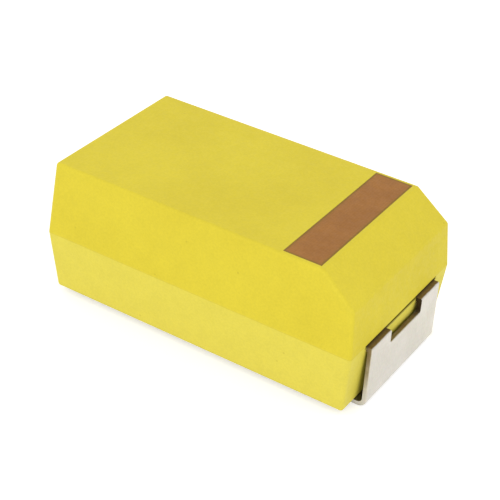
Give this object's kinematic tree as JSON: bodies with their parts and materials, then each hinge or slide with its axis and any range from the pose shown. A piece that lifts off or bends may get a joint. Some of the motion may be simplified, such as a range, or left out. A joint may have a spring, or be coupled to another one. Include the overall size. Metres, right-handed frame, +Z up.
{
  "type": "tantalum chip capacitor",
  "caption": "Rectangular moulded chip capacitor with drafted sides, a bevelled and striped anode end, and bent sheet terminals under both ends.",
  "frame": {"origin": "on the circuit board plane, the undersides of the feet, midway between the outer faces of the two terminals and on the part's middle plane", "axes": "+X towards the anode end, which has the bevel and the stripe; +Z up from the board; +Y across"},
  "size_m": [0.006, 0.0032, 0.0025],
  "materials": {
    "case_epoxy": "moulded epoxy, fine matte grain",
    "stripe_mark": "brown marked layer in the case surface",
    "tinned_lead": "satin tin plate, bare copper alloy on the cut edges",
    "sintered_tantalum": "porous sintered metal",
    "tantalum_wire": "drawn tantalum",
    "fluoropolymer": "white fluoropolymer",
    "manganese_dioxide": "black sooty oxide",
    "graphite": "dark grey carbon",
    "silver_paint": "matte silver-filled paint",
    "silver_glue": "silver-filled adhesive"
  },
  "bodies": {
    "root": {"moulded_case": "case_epoxy", "polarity_stripe": "stripe_mark", "anode_terminal": "tinned_lead", "cathode_terminal": "tinned_lead", "tantalum_pellet": "sintered_tantalum", "riser_wire": "tantalum_wire", "wire_washer": "fluoropolymer", "manganese_dioxide_coat": "manganese_dioxide", "graphite_coat": "graphite", "silver_coat": "silver_paint", "silver_adhesive": "silver_glue"}
  },
  "joints": []
}
